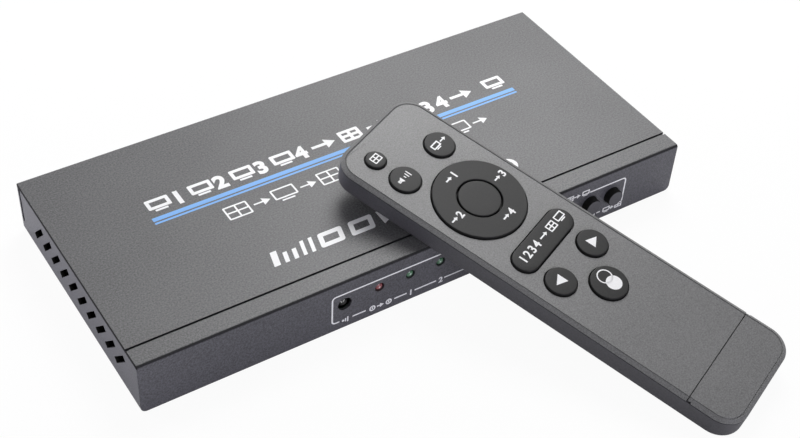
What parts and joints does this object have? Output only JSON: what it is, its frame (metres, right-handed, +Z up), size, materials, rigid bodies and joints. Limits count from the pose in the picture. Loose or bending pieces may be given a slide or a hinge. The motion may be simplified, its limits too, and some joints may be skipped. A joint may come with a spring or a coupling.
{
  "type": "video multiviewer",
  "caption": "Low sheet-metal box that joins several video inputs into one picture, with front lamps and buttons, rear sockets and a slim remote control.",
  "frame": {"origin": "middle of the box's flat underside, on the surface it stands on", "axes": "+X to the right along the front, +Y from the front to the back, +Z up"},
  "size_m": [0.2, 0.1869, 0.0379],
  "materials": {
    "case_paint": "fine speckled grey powder coat",
    "zinc": "bright zinc plate",
    "board_lacquer": "green solder lacquer on glass fibre board",
    "socket_metal": "nickel-plated drawn sheet",
    "black_plastic": "moulded black plastic",
    "button_plastic": "moulded dark grey plastic",
    "white_plastic": "moulded white plastic",
    "gold": "plated contact metal",
    "chip_resin": "black epoxy",
    "pad_silicone": "soft silicone sheet",
    "sink_aluminium": "extruded, clear anodised",
    "coil_ferrite": "pressed ferrite",
    "can_metal": "drawn can",
    "lamp_red": "tinted clear resin",
    "lamp_green": "tinted clear resin",
    "remote_paint": "fine speckled silver-grey lacquer",
    "remote_plastic": "moulded grey plastic, fine spark texture",
    "key_rubber": "satin dark grey silicone with printed signs",
    "mat_rubber": "milky silicone",
    "emitter_resin": "dark clear resin",
    "cell_steel": "stamped steel"
  },
  "bodies": {
    "case": {"base_tray": "case_paint", "front_panel": "case_paint", "rear_panel": "case_paint", "top_cover": "case_paint", "board_screws": "zinc", "cover_screws": "zinc", "cover_nuts": "zinc", "spacers": "zinc", "main_board": "board_lacquer", "video_input_1_shell": "socket_metal", "video_input_2_shell": "socket_metal", "video_input_3_shell": "socket_metal", "video_input_4_shell": "socket_metal", "video_output_shell": "socket_metal", "video_cores": "black_plastic", "power_jack": "black_plastic", "lamp_holders": "black_plastic", "push_switches": "black_plastic", "infrared_receiver": "black_plastic", "power_jack_pin": "gold", "video_processor": "chip_resin", "port_chips": "chip_resin", "memory_chips": "chip_resin", "thermal_pad": "pad_silicone", "heat_sink": "sink_aluminium", "power_inductors": "coil_ferrite", "capacitors": "can_metal", "crystal": "can_metal", "power_lamp": "lamp_red", "input_lamp_1": "lamp_green", "input_lamp_2": "lamp_green", "input_lamp_3": "lamp_green", "input_lamp_4": "lamp_green"},
    "left_button": {"button_left_cap": "button_plastic", "button_left_plunger": "white_plastic"},
    "right_button": {"button_right_cap": "button_plastic", "button_right_plunger": "white_plastic"},
    "remote": {"remote_face": "remote_paint", "remote_back": "remote_plastic", "remote_mat": "mat_rubber", "remote_card": "board_lacquer", "remote_chip": "chip_resin", "remote_emitter": "emitter_resin", "coin_cell": "cell_steel", "cell_contacts": "gold", "remote_name_plate": "key_rubber"},
    "end_cap": {"remote_end_cap": "remote_paint"},
    "screen_key": {"key_screen": "key_rubber"},
    "sound_key": {"key_sound": "key_rubber"},
    "mode_key": {"key_mode": "key_rubber"},
    "left_key": {"key_left": "key_rubber"},
    "right_key": {"key_right": "key_rubber"},
    "definition_key": {"key_definition": "key_rubber"},
    "ring_key": {"key_ring": "key_rubber"},
    "centre_key": {"key_centre": "key_rubber"}
  },
  "joints": [
    {"name": "left_button_press", "type": "slide", "parent": "case", "child": "left_button", "axis": [0, 1, 0], "range_m": [0, 0.0004], "stiffness_N_per_m": 3000, "springref_m": -0.0002},
    {"name": "right_button_press", "type": "slide", "parent": "case", "child": "right_button", "axis": [0, 1, 0], "range_m": [0, 0.0004], "stiffness_N_per_m": 3000, "springref_m": -0.0002},
    {"name": "remote_lift", "type": "slide", "parent": "case", "child": "remote", "axis": [0, 0, 1], "range_m": [0, 0.1]},
    {"name": "end_cap_slide", "type": "slide", "parent": "remote", "child": "end_cap", "axis": [0.3981, -0.8972, -0.1914], "range_m": [0, 0.02]},
    {"name": "screen_key_press", "type": "slide", "parent": "remote", "child": "screen_key", "axis": [0, 0.2086, -0.978], "range_m": [0, 0.0006], "stiffness_N_per_m": 1200, "springref_m": -0.0003},
    {"name": "sound_key_press", "type": "slide", "parent": "remote", "child": "sound_key", "axis": [0, 0.2086, -0.978], "range_m": [0, 0.0006], "stiffness_N_per_m": 1200, "springref_m": -0.0003},
    {"name": "mode_key_press", "type": "slide", "parent": "remote", "child": "mode_key", "axis": [0, 0.2086, -0.978], "range_m": [0, 0.0006], "stiffness_N_per_m": 1200, "springref_m": -0.0003},
    {"name": "left_key_press", "type": "slide", "parent": "remote", "child": "left_key", "axis": [0, 0.2086, -0.978], "range_m": [0, 0.0006], "stiffness_N_per_m": 1200, "springref_m": -0.0003},
    {"name": "right_key_press", "type": "slide", "parent": "remote", "child": "right_key", "axis": [0, 0.2086, -0.978], "range_m": [0, 0.0006], "stiffness_N_per_m": 1200, "springref_m": -0.0003},
    {"name": "definition_key_press", "type": "slide", "parent": "remote", "child": "definition_key", "axis": [0, 0.2086, -0.978], "range_m": [0, 0.0006], "stiffness_N_per_m": 1200, "springref_m": -0.0003},
    {"name": "ring_key_press", "type": "slide", "parent": "remote", "child": "ring_key", "axis": [0, 0.2086, -0.978], "range_m": [0, 0.0006], "stiffness_N_per_m": 1200, "springref_m": -0.0003},
    {"name": "centre_key_press", "type": "slide", "parent": "remote", "child": "centre_key", "axis": [0, 0.2086, -0.978], "range_m": [0, 0.0006], "stiffness_N_per_m": 1200, "springref_m": -0.0003}
  ]
}
